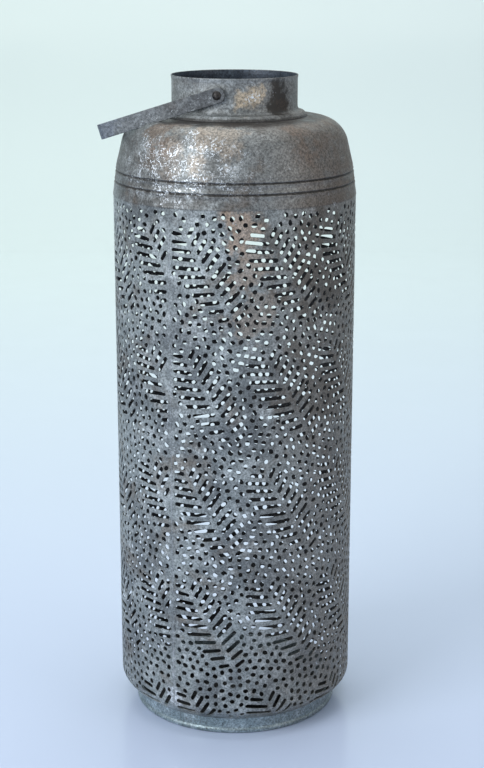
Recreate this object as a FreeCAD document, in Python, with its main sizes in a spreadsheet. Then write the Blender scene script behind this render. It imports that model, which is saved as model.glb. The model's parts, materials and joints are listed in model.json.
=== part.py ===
import FreeCAD, Part
import Sketcher

import math
import os

# Candle lantern of rolled and spun sheet metal, with a swinging strap bail.
# Millimetres, +Z up.  The origin is the centre of the underside of the foot.
# The bail's hinge runs along Y; at rest the bail leans over the -X side.

V = FreeCAD.Vector
doc = FreeCAD.newDocument("lantern")

# ---------------------------------------------------------------------------
# Driving dimensions: alias, value, what it is
# ---------------------------------------------------------------------------
SIZES = (
    # pierced body
    ("body_radius", 110.5, "outer radius of the straight wall"),
    ("body_wall", 0.8, "sheet of the pierced body"),
    ("mouth_height", 14.6, "height where the turned-in bottom meets the foot"),
    ("corner_height", 26.2, "height where the turned-in bottom would meet the wall"),
    ("corner_round", 12.0, "outer radius of the bottom corner"),
    ("wall_rings", 5, "faces up the straight wall"),
    ("wall_sectors", 10, "faces round the straight wall"),
    ("tuck_height", 7.7, "how far the body's top edge reaches up inside the band"),
    # foot
    ("foot_radius", 95.0, "outer radius of the foot ring"),
    ("foot_wall", 1.2, "sheet of the foot ring"),
    ("foot_height", 17.5, "height of the foot ring"),
    ("bead_height", 2.4, "height of the rolled bead's centre on the foot"),
    ("bead_radius", 1.2, "section radius of the rolled bead"),
    ("floor_wall", 1.0, "sheet of the bottom disc"),
    # shoulder dome
    ("dome_wall", 0.8, "sheet of the dome"),
    ("band_bottom", 493.3, "height of the band's lower edge"),
    ("lip_radius", 111.0, "outer radius of the band's lower edge"),
    ("band_top", 519.0, "height where the band runs into the shoulder"),
    ("band_top_radius", 107.6, "outer radius there"),
    ("shoulder_height", 560.9, "height where side and crown would meet"),
    ("shoulder_radius", 97.7, "radius where side and crown would meet"),
    ("shoulder_round", 38.0, "outer radius of the shoulder's curve"),
    ("band_round", 60.0, "outer radius of the soft bend above the band"),
    ("crown_height", 564.2, "height of the crown's edge round the neck"),
    ("crown_hole", 57.6, "radius of the hole in the crown"),
    ("groove_low", 506.3, "height of the lower groove in the band"),
    ("groove_high", 515.7, "height of the upper groove in the band"),
    ("groove_width", 2.2, "width of a groove"),
    ("groove_depth", 0.5, "depth of a groove"),
    # neck collar
    ("neck_radius", 56.9, "outer radius of the neck"),
    ("neck_wall", 0.8, "sheet of the neck"),
    ("neck_top", 600.0, "height of the rim, the lantern's own height"),
    ("rim_flare", 0.6, "how far the rim leans out"),
    ("rim_height", 4.0, "height of the leaning rim"),
    ("flare_height", 569.4, "height where the neck would meet its flared foot"),
    ("crest_height", 567.8, "height of the flared foot's crest"),
    ("crest_radius", 62.8, "radius of the flared foot's crest"),
    ("flare_round", 6.4, "outer radius of the neck's flare"),
    ("crest_round", 1.6, "outer radius of the crest"),
    ("skirt_radius", 66.0, "outer radius of the flared foot's edge"),
    # bail
    ("pivot_height", 585.9, "height of the bail's hinge"),
    ("arm_spread", 60.0, "distance of an arm's middle from the lantern's axis"),
    ("strap_width", 13.5, "width of the strap"),
    ("strap_thick", 2.0, "thickness of the strap"),
    ("strap_reach", 115.3, "hinge to the outside of the crosspiece"),
    ("strap_bend", 5.0, "inner radius of the strap's two corners"),
    ("eye_radius", 7.2, "radius of the rounded strap ends"),
    ("bail_gap", 0.3, "gap between the resting bail and the dome"),
    # hinge rivets
    ("rivet_radius", 2.5, "radius of a hinge rivet's shank"),
    ("running_gap", 0.06, "radial clearance of the shank in the strap"),
    ("side_gap", 0.3, "gap on each side of the strap at the hinge"),
    ("head_radius", 4.0, "radius of the domed rivet head"),
    ("head_height", 2.6, "height of the domed rivet head"),
    ("tail_radius", 4.0, "radius of the clinched tail inside the neck"),
    ("tail_height", 1.4, "thickness of the clinched tail"),
    ("spacer_radius", 5.0, "outer radius of the spacer between neck and strap"),
    # candle place
    ("tray_radius", 52.0, "outer radius of the drip tray"),
    ("tray_rise", 7.0, "height of the drip tray's rim"),
    ("tray_wall", 1.0, "sheet of the drip tray"),
    ("socket_bore", 36.0, "inner radius of the candle socket"),
    ("socket_wall", 1.0, "sheet of the candle socket"),
    ("socket_height", 14.0, "height of the candle socket"),
    # seam
    ("seam_angle", 16.15, "turn of the seam from the front rivet towards -X"),
    ("seam_width", 4.6, "width of the solder run"),
    ("seam_rise", 0.6, "how far the solder stands proud"),
    # pierced leaves
    ("repeat_width", 72.8, "leaf to leaf round the sheet"),
    ("repeat_height", 107.9, "leaf to leaf up the sheet"),
    ("leaf_start", 30.0, "first leaf's rib, along the sheet from the seam"),
    ("leaf_height", 442.5, "height of that point on the first leaf's rib"),
    ("rib_angle", 59.8, "slope of a leaf's rib from the horizontal"),
    ("rib_width", 5.2, "plain strip along the rib"),
    ("slot_width", 4.2, "width of a slot"),
    ("slot_pitch", 14.34, "height from slot to slot"),
    ("slots_above", 2, "slots of a leaf above its main point"),
    ("slots_below", 3, "slots of a leaf below its main point"),
    ("slot_shortest", 10.0, "shortest slot"),
    ("left_longest", 28.0, "longest slot left of the rib"),
    ("left_tilt_top", -8.0, "rise of the top slot left of the rib, in degrees"),
    ("left_tilt_low", 12.0, "rise of the lowest slot left of the rib, in degrees"),
    ("right_longest", 21.0, "longest slot right of the rib"),
    ("right_tilt_top", 64.0, "rise of the top slot right of the rib, in degrees"),
    ("right_tilt_low", 39.0, "rise of the lowest slot right of the rib, in degrees"),
    ("right_drop", 2.0, "how far a right slot starts below its left neighbour's end"),
    ("edge_margin", 4.0, "plain sheet above, below and beside the slots"),
    ("cutter_depth", 4.8, "depth of the cutter that makes a slot"),
    # fits
    ("seat_gap", 0.1, "gap of a piece that rests in or on another"),
    ("fit_gap", 0.2, "gap of a sleeve over or inside another"),
)

sheet = doc.addObject("Spreadsheet::Sheet", "Sizes")
for row, (alias, value, note) in enumerate(SIZES, start=1):
    sheet.set("A%d" % row, note)
    sheet.set("B%d" % row, str(value))
    sheet.setAlias("B%d" % row, alias)
doc.recompute()

ALIASES = [entry[0] for entry in SIZES]


def size(alias):
    """A driving dimension as a number."""
    return float(sheet.get(alias))


def bound(text):
    """The same formula with every size name pointing at the sheet."""
    words = []
    word = ""
    for letter in text + " ":
        if letter.isalnum() or letter == "_":
            word += letter
            continue
        words.append("Sizes." + word if word in ALIASES else word)
        words.append(letter)
        word = ""
    return "".join(words).strip()


# ---------------------------------------------------------------------------
# Helpers for sketched pieces
# ---------------------------------------------------------------------------
def origin_plane(body, role):
    for feature in body.Origin.OriginFeatures:
        if feature.Role == role:
            return feature
    raise ValueError(role)


def new_body(name):
    body = doc.addObject("PartDesign::Body", name)
    body.Label = name
    return body


def new_sketch(body, name, role):
    sketch = body.newObject("Sketcher::SketchObject", name)
    sketch.AttachmentSupport = [(origin_plane(body, role), "")]
    sketch.MapMode = "FlatFace"
    return sketch


def constrain_point(sketch, line, end, across, up, tag):
    """Ties one end of a line to two formulas, as distances from the origin."""
    sideways = sketch.addConstraint(
        Sketcher.Constraint("DistanceX", -1, 1, line, end, 1.0))
    sketch.renameConstraint(sideways, "across_%s" % tag)
    sketch.setExpression("Constraints.across_%s" % tag, bound(across))
    upward = sketch.addConstraint(
        Sketcher.Constraint("DistanceY", -1, 1, line, end, 1.0))
    sketch.renameConstraint(upward, "up_%s" % tag)
    sketch.setExpression("Constraints.up_%s" % tag, bound(up))


def evaluate(text):
    """A formula's value from the sheet's present numbers."""
    return float(sheet.evalExpression(bound(text)))


def sketch_polygon(sketch, corners):
    """A closed outline; each corner is a pair of formulas."""
    places = [V(evaluate(across), evaluate(up), 0) for across, up in corners]
    count = len(places)
    for index in range(count):
        line = Part.LineSegment(places[index], places[(index + 1) % count])
        sketch.addGeometry(line, False)
    for index in range(count):
        sketch.addConstraint(
            Sketcher.Constraint("Coincident", index, 2, (index + 1) % count, 1))
    for index, (across, up) in enumerate(corners):
        constrain_point(sketch, index, 1, across, up, "p%d" % index)


def sketch_circle(sketch, radius):
    """A circle round the sketch's origin."""
    circle = Part.Circle(V(0, 0, 0), V(0, 0, 1), evaluate(radius))
    sketch.addGeometry(circle, False)
    sketch.addConstraint(Sketcher.Constraint("Coincident", 0, 3, -1, 1))
    width = sketch.addConstraint(Sketcher.Constraint("Radius", 0, 1.0))
    sketch.renameConstraint(width, "radius")
    sketch.setExpression("Constraints.radius", bound(radius))


def revolve(body, name, corners, refine=True):
    """A solid of revolution about Z from an outline of (radius, height)."""
    sketch = new_sketch(body, name + "_outline", "XZ_Plane")
    sketch_polygon(sketch, corners)
    turned = body.newObject("PartDesign::Revolution", name + "_turned")
    turned.Profile = sketch
    turned.ReferenceAxis = (sketch, ["V_Axis"])
    turned.Angle = 360
    turned.Refine = refine
    doc.recompute()
    return turned


def circle_edge(shape, radius, height):
    """The name of the circular edge about Z nearest to a radius and height."""
    best_name = None
    best_miss = 1e9
    for number, edge in enumerate(shape.Edges, start=1):
        curve = edge.Curve
        if not hasattr(curve, "Radius"):
            continue
        if abs(abs(curve.Axis.z) - 1) > 1e-6:
            continue
        miss = abs(curve.Radius - radius) + abs(curve.Center.z - height)
        if miss < best_miss:
            best_name = "Edge%d" % number
            best_miss = miss
    return best_name


def round_circle(body, name, corner, radius, refine=True):
    """Rounds the circular edge that a corner of the outline swept."""
    doc.recompute()
    base = body.Tip
    edge = circle_edge(base.Shape, evaluate(corner[0]), evaluate(corner[1]))
    fillet = body.newObject("PartDesign::Fillet", name)
    fillet.Base = (base, [edge])
    fillet.setExpression("Radius", bound(radius))
    fillet.Refine = refine
    doc.recompute()
    return fillet


def groove(body, name, corners):
    """Turns a shallow groove out of a body, from an outline of its section."""
    doc.recompute()
    before = body.Tip.Shape.Volume
    sketch = new_sketch(body, name + "_outline", "XZ_Plane")
    sketch_polygon(sketch, corners)
    cut = body.newObject("PartDesign::Groove", name)
    cut.Profile = sketch
    cut.ReferenceAxis = (sketch, ["V_Axis"])
    cut.Angle = 360
    doc.recompute()
    if not cut.Shape.Volume < before:
        raise RuntimeError(name + " cuts nothing")
    return cut


# ---------------------------------------------------------------------------
# Shoulder dome: crown, shoulder and grooved band in one spun piece
# ---------------------------------------------------------------------------
CROWN_FALL = "(crown_height - shoulder_height) / (shoulder_radius - crown_hole)"
BAND_LEAN = "(lip_radius - band_top_radius) / (band_top - band_bottom)"


def crown_at(radius):
    """Formula of the crown's height at a radius."""
    return "crown_height - (%s - crown_hole) * %s" % (radius, CROWN_FALL)


def band_at(height):
    """Formula of the band's outer radius at a height."""
    return "lip_radius - (%s - band_bottom) * %s" % (height, BAND_LEAN)


def make_dome():
    body = new_body("shoulder_dome")
    lip = ("lip_radius", "band_bottom")
    bend = ("band_top_radius", "band_top")
    shoulder = ("shoulder_radius", "shoulder_height")
    inner_bend = ("band_top_radius - dome_wall", "band_top")
    inner_shoulder = ("shoulder_radius - dome_wall", "shoulder_height - dome_wall")
    revolve(body, "dome", (
        lip,
        bend,
        shoulder,
        ("crown_hole", "crown_height"),
        ("crown_hole", "crown_height - dome_wall"),
        inner_shoulder,
        inner_bend,
        ("lip_radius - dome_wall", "band_bottom"),
    ))
    round_circle(body, "shoulder_outside", shoulder, "shoulder_round")
    round_circle(body, "shoulder_inside", inner_shoulder, "shoulder_round - dome_wall")
    round_circle(body, "band_outside", bend, "band_round")
    round_circle(body, "band_inside", inner_bend, "band_round - dome_wall")
    for name, height in (("low", "groove_low"), ("high", "groove_high")):
        bottom = "%s - groove_depth" % band_at(height)
        outside = "%s + groove_depth" % band_at(height)
        groove(body, "groove_" + name, (
            (bottom, height + " - groove_width / 4"),
            (outside, height + " - groove_width"),
            (outside, height + " + groove_width"),
            (bottom, height + " + groove_width / 4"),
        ))
    return body


# ---------------------------------------------------------------------------
# Neck collar: short tube with a leaning rim and a flared foot on the crown
# ---------------------------------------------------------------------------
def make_collar():
    body = new_body("neck_collar")
    corner = ("neck_radius", "flare_height")
    crest = ("crest_radius", "crest_height")
    inner_corner = ("neck_radius - neck_wall", "flare_height - neck_wall")
    rim_start = "neck_top - rim_height"
    skirt_foot = crown_at("(skirt_radius - neck_wall)") + " + seat_gap"
    revolve(body, "collar", (
        ("neck_radius + rim_flare", "neck_top"),
        ("neck_radius", rim_start),
        corner,
        crest,
        ("skirt_radius", skirt_foot),
        ("skirt_radius - neck_wall", skirt_foot),
        ("crest_radius - neck_wall / 2", "crest_height - neck_wall"),
        inner_corner,
        ("neck_radius - neck_wall", rim_start),
        ("neck_radius + rim_flare - neck_wall", "neck_top"),
    ))
    round_circle(body, "flare_outside", corner, "flare_round - neck_wall")
    round_circle(body, "flare_inside", inner_corner, "flare_round")
    round_circle(body, "crest_outside", crest, "crest_round")
    holes = new_sketch(body, "hinge_holes_outline", "XZ_Plane")
    holes.AttachmentOffset = FreeCAD.Placement(
        V(0, size("pivot_height"), 0), FreeCAD.Rotation())
    holes.setExpression("AttachmentOffset.Base.y", "Sizes.pivot_height")
    sketch_circle(holes, "rivet_radius + running_gap")
    doc.recompute()
    before = body.Tip.Shape.Volume
    pierced = body.newObject("PartDesign::Pocket", "hinge_holes")
    pierced.Profile = holes
    pierced.Type = "ThroughAll"
    pierced.Midplane = True
    doc.recompute()
    if not pierced.Shape.Volume < before:
        raise RuntimeError("hinge_holes cuts nothing")
    return body


# ---------------------------------------------------------------------------
# Body: rolled sheet, turned in at the bottom, tucked under the band at the
# top, and pierced with leaves of slots
# ---------------------------------------------------------------------------
def wall_ring_heights():
    """Formulas of the heights that part the straight wall's faces."""
    rings = int(size("wall_rings"))
    return ["corner_height + (band_bottom - corner_height) * %d / %d" % (ring, rings)
            for ring in range(1, rings)]


def make_body_blank():
    """The sheet before it is pierced, its straight wall in rings of faces."""
    body = new_body("body_blank")
    outer_corner = ("body_radius", "corner_height")
    inner_corner = ("body_radius - body_wall", "corner_height + body_wall / 2")
    tuck_top = "band_bottom + tuck_height"
    tuck_radius = "%s - dome_wall - fit_gap" % band_at("(" + tuck_top + ")")
    step_top = "band_bottom + body_radius - (%s)" % tuck_radius
    mouth = "foot_radius + fit_gap"
    slope = "((corner_height - mouth_height) / (body_radius - (%s)))" % mouth
    upright_wall = "body_wall * sqrt(1 + %s^2)" % slope
    heights = wall_ring_heights()
    revolve(
        body,
        "blank",
        [(mouth, "mouth_height"), outer_corner]
        + [("body_radius", height) for height in heights]
        + [
            ("body_radius", "band_bottom - fit_gap"),
            (tuck_radius, step_top),
            (tuck_radius, tuck_top),
            (tuck_radius + " - body_wall", tuck_top),
            (tuck_radius + " - body_wall", step_top + " - body_wall / 2"),
            ("body_radius - body_wall", "band_bottom - fit_gap - body_wall / 2"),
        ]
        + [("body_radius - body_wall", height) for height in reversed(heights)]
        + [inner_corner, (mouth, "mouth_height + " + upright_wall)],
        refine=False)
    round_circle(body, "corner_outside", outer_corner, "corner_round", refine=False)
    round_circle(body, "corner_inside", inner_corner, "corner_round - body_wall",
                 refine=False)
    return body


def part_in_sectors(blank):
    """The same solid with its faces parted round the axis as well, so that no
    face has more than a dozen slots in it."""
    panels = []
    sectors = int(size("wall_sectors"))
    for number in range(sectors):
        sector = doc.addObject("Part::Cylinder", "sector_%d" % number)
        sector.setExpression("Radius", bound("2 * body_radius"))
        sector.setExpression("Height", bound("2 * band_bottom"))
        sector.setExpression("Angle", bound("360 / wall_sectors"))
        sector.Placement = FreeCAD.Placement(
            V(0, 0, 0), FreeCAD.Rotation(V(0, 0, 1), 360.0 * number / sectors))
        panel = doc.addObject("Part::MultiCommon", "panel_%d" % number)
        panel.Shapes = [blank, sector]
        panel.Refine = False
        panels.append(panel)
    whole = doc.addObject("Part::MultiFuse", "parted_blank")
    whole.Shapes = panels
    whole.Refine = False
    return whole


def slot_prism(along, height, length, angle):
    """One slot's cutter: a bar with round ends that points out of the wall.

    along is measured on the sheet from the seam, angle from the horizontal.
    """
    radius = size("body_radius")
    half_width = size("slot_width") / 2
    half_run = length / 2 - half_width
    depth = size("cutter_depth")
    low_left = V(-half_run, -half_width, 0)
    low_right = V(half_run, -half_width, 0)
    high_right = V(half_run, half_width, 0)
    high_left = V(-half_run, half_width, 0)
    outline = Part.Wire([
        Part.LineSegment(low_left, low_right).toShape(),
        Part.Arc(low_right, V(half_run + half_width, 0, 0), high_right).toShape(),
        Part.LineSegment(high_right, high_left).toShape(),
        Part.Arc(high_left, V(-half_run - half_width, 0, 0), low_left).toShape(),
    ])
    bar = Part.Face(outline).extrude(V(0, 0, depth))
    # the seam lies at -Y, turned towards -X, and the sheet runs on towards +X
    turn = math.radians(-90 - size("seam_angle")) + along / radius
    outward = V(math.cos(turn), math.sin(turn), 0)
    sideways = V(-math.sin(turn), math.cos(turn), 0)
    upward = V(0, 0, 1)
    tilt = math.radians(angle)
    run = sideways * math.cos(tilt) + upward * math.sin(tilt)
    rise = upward * math.cos(tilt) - sideways * math.sin(tilt)
    place = outward * (radius - depth / 2) + upward * height
    matrix = FreeCAD.Matrix(
        run.x, rise.x, outward.x, place.x,
        run.y, rise.y, outward.y, place.y,
        run.z, rise.z, outward.z, place.z,
        0, 0, 0, 1)
    bar.Placement = FreeCAD.Placement(matrix)
    return bar


def leaf_slots(rib_along, rib_height):
    """(middle, height, length, angle) of each slot of one leaf.

    The rib runs down to the right.  Level slots end at its left side, and
    slanting slots start from its right side.
    """
    pitch = size("slot_pitch")
    shortest = size("slot_shortest")
    rib_step = pitch / math.tan(math.radians(size("rib_angle")))
    above = int(size("slots_above"))
    below = int(size("slots_below"))
    slots = []
    for step in range(-above, below + 1):
        share = (step + above + 0.5) / (above + below + 1)
        swell = math.sin(math.pi * share)
        rise = rib_height - pitch * step
        rib = rib_along + rib_step * step
        for side, start, drop in (("left", 0, 0),
                                  ("right", size("rib_width"), size("right_drop"))):
            length = shortest + (size(side + "_longest") - shortest) * swell
            top = size(side + "_tilt_top")
            angle = top + (size(side + "_tilt_low") - top) * share
            half_run = length / 2 * (1 if side == "right" else -1)
            slots.append((
                rib + start + half_run * math.cos(math.radians(angle)),
                rise - drop + half_run * math.sin(math.radians(angle)),
                length,
                angle))
    return slots


def fitted_slot(middle, height, length, angle):
    """The slot cut to the plain margins, or None where too little is left."""
    margin = size("edge_margin")
    girth = 2 * math.pi * size("body_radius")
    lowest = size("corner_height") + size("corner_round") / 2 + margin
    highest = size("band_bottom") - margin
    tilt = math.radians(angle)
    climb = length / 2 * abs(math.sin(tilt)) + size("slot_width") / 2
    if height - climb < lowest or height + climb > highest:
        return None
    reach = length / 2 * math.cos(tilt)
    start = max(middle - reach, margin)
    end = min(middle + reach, girth - margin)
    kept = (end - start) / math.cos(tilt)
    if kept < max(2 * size("slot_width"), size("slot_shortest") / 2):
        return None
    moved = (start + end) / 2
    return moved, height + (moved - middle) * math.tan(tilt), kept, angle


def make_slot_cutters():
    """Every slot of every leaf that clears the seam and the sheet's edges."""
    girth = 2 * math.pi * size("body_radius")
    columns = int(girth / size("repeat_width")) + 2
    rows = int(size("band_bottom") / size("repeat_height")) + 2
    bars = []
    for column in range(-1, columns):
        for row in range(-1, rows):
            slots = leaf_slots(
                size("leaf_start") + column * size("repeat_width"),
                size("leaf_height") - row * size("repeat_height"))
            for slot in slots:
                fitted = fitted_slot(*slot)
                if fitted:
                    bars.append(slot_prism(*fitted))
    cutters = doc.addObject("Part::Feature", "slot_cutters")
    cutters.Shape = Part.makeCompound(bars)
    cutters.Placement = FreeCAD.Placement()
    print("slots", len(bars))
    return cutters


def make_body_shell():
    shell = doc.addObject("Part::Cut", "body_shell")
    shell.Base = part_in_sectors(make_body_blank())
    shell.Tool = make_slot_cutters()
    shell.Refine = False
    shell.Label = "body_shell"
    return shell


# ---------------------------------------------------------------------------
# Solder run over the body's upright seam
# ---------------------------------------------------------------------------
def make_seam():
    body = new_body("seam_solder")
    sketch = new_sketch(body, "seam_outline", "XY_Plane")
    inside = "body_radius + seat_gap"
    sketch_polygon(sketch, (
        ("-seam_width / 2", "-(%s)" % inside),
        ("-seam_width / 3", "-(%s + seam_rise)" % inside),
        ("seam_width / 3", "-(%s + seam_rise)" % inside),
        ("seam_width / 2", "-(%s)" % inside),
    ))
    sketch.AttachmentOffset = FreeCAD.Placement(V(0, 0, 1), FreeCAD.Rotation())
    sketch.setExpression(
        "AttachmentOffset.Base.z", bound("corner_height + corner_round / 2 + fit_gap"))
    run = body.newObject("PartDesign::Pad", "seam_run")
    run.Profile = sketch
    run.setExpression("Length", bound(
        "band_bottom - corner_height - corner_round / 2 - 3 * fit_gap"))
    body.Placement = FreeCAD.Placement(
        V(0, 0, 0), FreeCAD.Rotation(V(0, 0, -1), size("seam_angle")))
    doc.recompute()
    return body


# ---------------------------------------------------------------------------
# Foot ring, bottom disc, drip tray and candle socket
# ---------------------------------------------------------------------------
def make_foot():
    body = new_body("foot_ring")
    inner = "foot_radius - foot_wall"
    bead_out = "foot_radius + bead_radius"
    revolve(body, "foot", (
        (inner, "0"),
        ("foot_radius", "0"),
        (bead_out, "bead_height - bead_radius / 2"),
        (bead_out, "bead_height + bead_radius / 2"),
        ("foot_radius", "bead_height + bead_radius * 1.5"),
        ("foot_radius", "foot_height"),
        (inner, "foot_height"),
    ))
    return body


def make_floor():
    body = new_body("bottom_disc")
    revolve(body, "disc", (
        ("0", "0"),
        ("foot_radius - foot_wall - seat_gap", "0"),
        ("foot_radius - foot_wall - seat_gap", "floor_wall"),
        ("0", "floor_wall"),
    ))
    return body


def make_tray():
    body = new_body("drip_tray")
    corner = ("tray_radius - tray_wall", "floor_wall")
    inner_corner = ("tray_radius - 2 * tray_wall", "floor_wall + tray_wall")
    revolve(body, "tray", (
        ("0", "floor_wall"),
        corner,
        ("tray_radius", "floor_wall + tray_rise"),
        ("tray_radius - tray_wall", "floor_wall + tray_rise"),
        inner_corner,
        ("0", "floor_wall + tray_wall"),
    ))
    return body


def make_socket():
    body = new_body("candle_socket")
    revolve(body, "socket", (
        ("socket_bore", "floor_wall + tray_wall"),
        ("socket_bore + socket_wall", "floor_wall + tray_wall"),
        ("socket_bore + socket_wall", "floor_wall + tray_wall + socket_height"),
        ("socket_bore", "floor_wall + tray_wall + socket_height"),
    ))
    return body


# ---------------------------------------------------------------------------
# Bail: one strap bent to a U, with rounded ends on the hinge rivets
# ---------------------------------------------------------------------------
def shoulder_centre():
    """Radius and height of the centre of the shoulder's outer curve."""
    round_radius = size("shoulder_round")
    rim_up = size("shoulder_height") - size("band_top")
    rim_in = size("band_top_radius") - size("shoulder_radius")
    lean = math.atan2(rim_in, rim_up)
    fall = math.atan2(size("crown_height") - size("shoulder_height"),
                      size("shoulder_radius") - size("crown_hole"))
    turn = math.pi / 2 - lean - fall
    run = round_radius * math.tan(turn / 2)
    touch_radius = size("shoulder_radius") - run * math.cos(fall)
    touch_height = size("shoulder_height") + run * math.sin(fall)
    return (touch_radius - round_radius * math.sin(fall),
            touch_height - round_radius * math.cos(fall),
            touch_radius)


def dome_height_at(radius):
    """Height of the dome's outer surface at a radius."""
    centre_radius, centre_height, touch_radius = shoulder_centre()
    if radius <= touch_radius:
        return evaluate(crown_at("%.6f" % radius))
    reach = size("shoulder_round") ** 2 - (radius - centre_radius) ** 2
    if reach <= 0:
        return centre_height
    return centre_height + math.sqrt(reach)


STEEPEST_REST = 60.0
REST_PRECISION = 1e-4


def resting_angle():
    """How far the bail hangs below the horizontal when it rests on the dome."""
    inner_face = size("arm_spread") - size("strap_thick") / 2
    below = size("strap_width") / 2 + size("bail_gap")
    steps = 200
    low, high = 0.0, STEEPEST_REST
    heights = []
    for step in range(steps + 1):
        out = size("strap_reach") * step / steps
        radius = math.hypot(out, inner_face)
        heights.append((out, dome_height_at(radius)))
    while high - low > REST_PRECISION:
        middle = (low + high) / 2
        slope = math.radians(middle)
        clear = True
        for out, height in heights:
            edge = size("pivot_height") - out * math.tan(slope) - below / math.cos(slope)
            if edge < height:
                clear = False
        if clear:
            low = middle
        else:
            high = middle
    return low


def make_bail():
    body = new_body("bail_handle")
    outside = "arm_spread + strap_thick / 2"
    inside = "arm_spread - strap_thick / 2"
    plan = new_sketch(body, "strap_outline", "XY_Plane")
    sketch_polygon(plan, (
        ("0", outside),
        ("-strap_reach", outside),
        ("-strap_reach", "-(%s)" % outside),
        ("0", "-(%s)" % outside),
    ))
    block = body.newObject("PartDesign::Pad", "strap_block")
    block.Profile = plan
    block.Midplane = True
    block.setExpression("Length", "Sizes.strap_width")
    doc.recompute()
    eyes = new_sketch(body, "eye_outline", "XZ_Plane")
    sketch_circle(eyes, "eye_radius")
    ends = body.newObject("PartDesign::Pad", "strap_ends")
    ends.Profile = eyes
    ends.Midplane = True
    ends.setExpression("Length", bound("2 * (%s)" % outside))
    doc.recompute()
    hollow = new_sketch(body, "hollow_outline", "XY_Plane")
    sketch_polygon(hollow, (
        ("2 * eye_radius", inside),
        ("strap_thick - strap_reach", inside),
        ("strap_thick - strap_reach", "-(%s)" % inside),
        ("2 * eye_radius", "-(%s)" % inside),
    ))
    before = body.Tip.Shape.Volume
    gap = body.newObject("PartDesign::Pocket", "between_arms")
    gap.Profile = hollow
    gap.Type = "ThroughAll"
    gap.Midplane = True
    doc.recompute()
    if not gap.Shape.Volume < before:
        raise RuntimeError("between_arms cuts nothing")
    for name, across, radius in (
            ("bend_inside", "strap_reach - strap_thick", "strap_bend"),
            ("bend_outside", "strap_reach", "strap_bend + strap_thick")):
        base = body.Tip
        edges = []
        for number, edge in enumerate(base.Shape.Edges, start=1):
            middle = edge.CenterOfMass
            upright = abs(edge.tangentAt(edge.FirstParameter).z) > 0.99
            if upright and abs(middle.x + evaluate(across)) < 0.01:
                edges.append("Edge%d" % number)
        bend = body.newObject("PartDesign::Fillet", name)
        bend.Base = (base, edges)
        bend.setExpression("Radius", bound(radius))
        doc.recompute()
    hole = new_sketch(body, "pivot_hole_outline", "XZ_Plane")
    sketch_circle(hole, "rivet_radius + running_gap")
    before = body.Tip.Shape.Volume
    drilled = body.newObject("PartDesign::Pocket", "pivot_holes")
    drilled.Profile = hole
    drilled.Type = "ThroughAll"
    drilled.Midplane = True
    doc.recompute()
    if not drilled.Shape.Volume < before:
        raise RuntimeError("pivot_holes cuts nothing")
    angle = resting_angle()
    print("bail rests", round(angle, 3), "below level; swing", round(180 + 2 * angle, 2))
    body.Placement = FreeCAD.Placement(
        V(0, 0, size("pivot_height")), FreeCAD.Rotation(V(0, -1, 0), angle))
    body.setExpression("Placement.Base.z", "Sizes.pivot_height")
    return body


# ---------------------------------------------------------------------------
# Hinge rivets and the spacers between neck and strap, one pair of each
# ---------------------------------------------------------------------------
def cylinder(name, radius, length):
    """A bar along Z from the origin."""
    bar = doc.addObject("Part::Cylinder", name)
    bar.setExpression("Radius", bound(radius))
    bar.setExpression("Height", bound(length))
    return bar


SIDES = (("front", -1), ("back", 1))
WALL_INSIDE = "(sqrt((neck_radius - neck_wall)^2 - tail_radius^2) - seat_gap)"
HEAD_SEAT = "(arm_spread + strap_thick / 2 + side_gap)"


def out_along_y(feature, side, distance):
    """Turns a piece built along Z outwards along Y, its base at a distance."""
    turn = FreeCAD.Rotation(V(1, 0, 0), -90 * side)
    feature.Placement = FreeCAD.Placement(
        V(0, side * evaluate(distance), size("pivot_height")), turn)
    feature.setExpression("Placement.Base.y", bound("%d * %s" % (side, distance)))
    feature.setExpression("Placement.Base.z", "Sizes.pivot_height")


def make_rivet(side_name, side):
    """Shank, domed head outside the strap and clinched tail inside the neck."""
    shank = cylinder("shank_" + side_name, "rivet_radius",
                     "%s - %s" % (HEAD_SEAT, WALL_INSIDE))
    tail = cylinder("tail_" + side_name, "tail_radius", "tail_height")
    tail.Placement = FreeCAD.Placement(V(0, 0, -1), FreeCAD.Rotation())
    tail.setExpression("Placement.Base.z", "-Sizes.tail_height")
    ball = doc.addObject("Part::Sphere", "ball_" + side_name)
    ball_radius = "((head_radius^2 + head_height^2) / (2 * head_height))"
    ball.setExpression("Radius", bound(ball_radius))
    head_base = "%s - %s" % (HEAD_SEAT, WALL_INSIDE)
    ball.Placement = FreeCAD.Placement(V(0, 0, 1), FreeCAD.Rotation())
    ball.setExpression("Placement.Base.z", bound(
        "%s + head_height - %s" % (head_base, ball_radius)))
    blank = cylinder("head_blank_" + side_name, "2 * head_radius", "2 * head_height")
    blank.Placement = FreeCAD.Placement(V(0, 0, 1), FreeCAD.Rotation())
    blank.setExpression("Placement.Base.z", bound(head_base))
    head = doc.addObject("Part::Common", "head_" + side_name)
    head.Base = ball
    head.Tool = blank
    rivet = doc.addObject("Part::MultiFuse", "rivet_" + side_name)
    rivet.Shapes = [shank, tail, head]
    out_along_y(rivet, side, WALL_INSIDE)
    return rivet


def make_spacer(side_name, side):
    """Ring between the neck's wall and the strap."""
    start = "(neck_radius + seat_gap)"
    length = "arm_spread - strap_thick / 2 - side_gap - %s" % start
    ring = cylinder("ring_" + side_name, "spacer_radius", length)
    bore = cylinder("ring_bore_" + side_name, "rivet_radius + running_gap", length)
    spacer = doc.addObject("Part::Cut", "spacer_" + side_name)
    spacer.Base = ring
    spacer.Tool = bore
    out_along_y(spacer, side, start)
    return spacer


def make_pair(label, make_one):
    pair = doc.addObject("Part::Compound", label)
    pair.Links = [make_one(side_name, side) for side_name, side in SIDES]
    pair.Label = label
    return pair


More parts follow.
